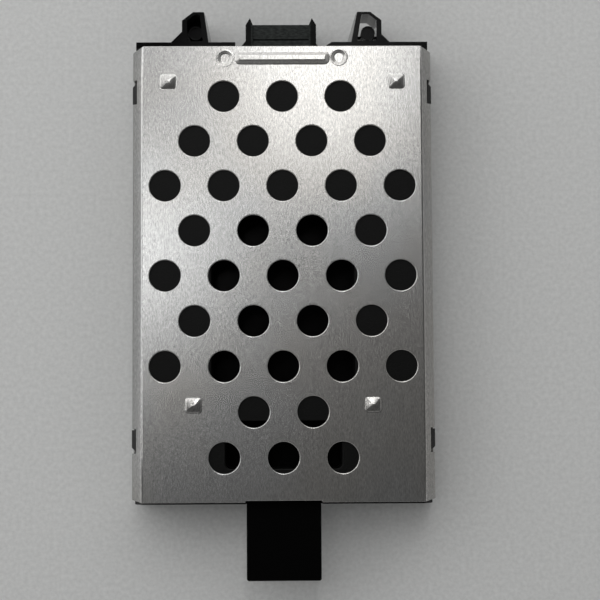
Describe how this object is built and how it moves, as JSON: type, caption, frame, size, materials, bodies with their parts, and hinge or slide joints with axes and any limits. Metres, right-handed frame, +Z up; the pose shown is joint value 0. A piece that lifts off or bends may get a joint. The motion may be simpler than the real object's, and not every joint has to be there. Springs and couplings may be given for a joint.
{
  "type": "laptop drive caddy",
  "caption": "Removable 2.5-inch drive caddy for a rugged laptop: moulded tray with guide posts and outer connector, foam-lined drive bay, perforated snap-fit steel cover and film pull tab.",
  "frame": {"origin": "middle of the flat underside, halfway along the steel cover", "axes": "+Z up out of the perforated cover, +Y towards the connector end, +X to the right when seen from above with the connector at the top"},
  "size_m": [0.0798, 0.1508, 0.0166],
  "materials": {
    "cover_steel": "satin, fine grain along the length",
    "foam": "matt closed-cell foam",
    "tray_plastic": "semi-gloss moulded",
    "tab_film": "matt film",
    "circuit_board": "solder mask",
    "socket_plastic": "fine moulded",
    "connector_plastic": "glass-filled, slightly fibrous",
    "contact_metal": "gold-plated",
    "screw_steel": "zinc-plated",
    "insert_brass": "turned",
    "flex_film": "amber film"
  },
  "bodies": {
    "base": {"tray": "tray_plastic", "snap_arms": "tray_plastic", "lower_damper": "foam", "left_damper": "foam", "right_damper": "foam", "rear_dampers": "foam", "front_dampers": "foam", "pull_tab": "tab_film", "socket_board": "circuit_board", "socket_housing": "socket_plastic", "socket_contacts": "contact_metal", "socket_screws": "screw_steel", "flex_cable": "flex_film", "connector_board": "circuit_board", "connector_housing": "connector_plastic", "connector_contacts": "contact_metal", "connector_screws": "screw_steel", "screw_inserts": "insert_brass"},
    "lid": {"cover": "cover_steel", "upper_damper": "foam"}
  },
  "joints": [
    {"name": "cover_lift", "type": "slide", "parent": "base", "child": "lid", "axis": [0, 0, 1], "range_m": [0, 0.04], "deforming": ["snap_arms"]}
  ]
}
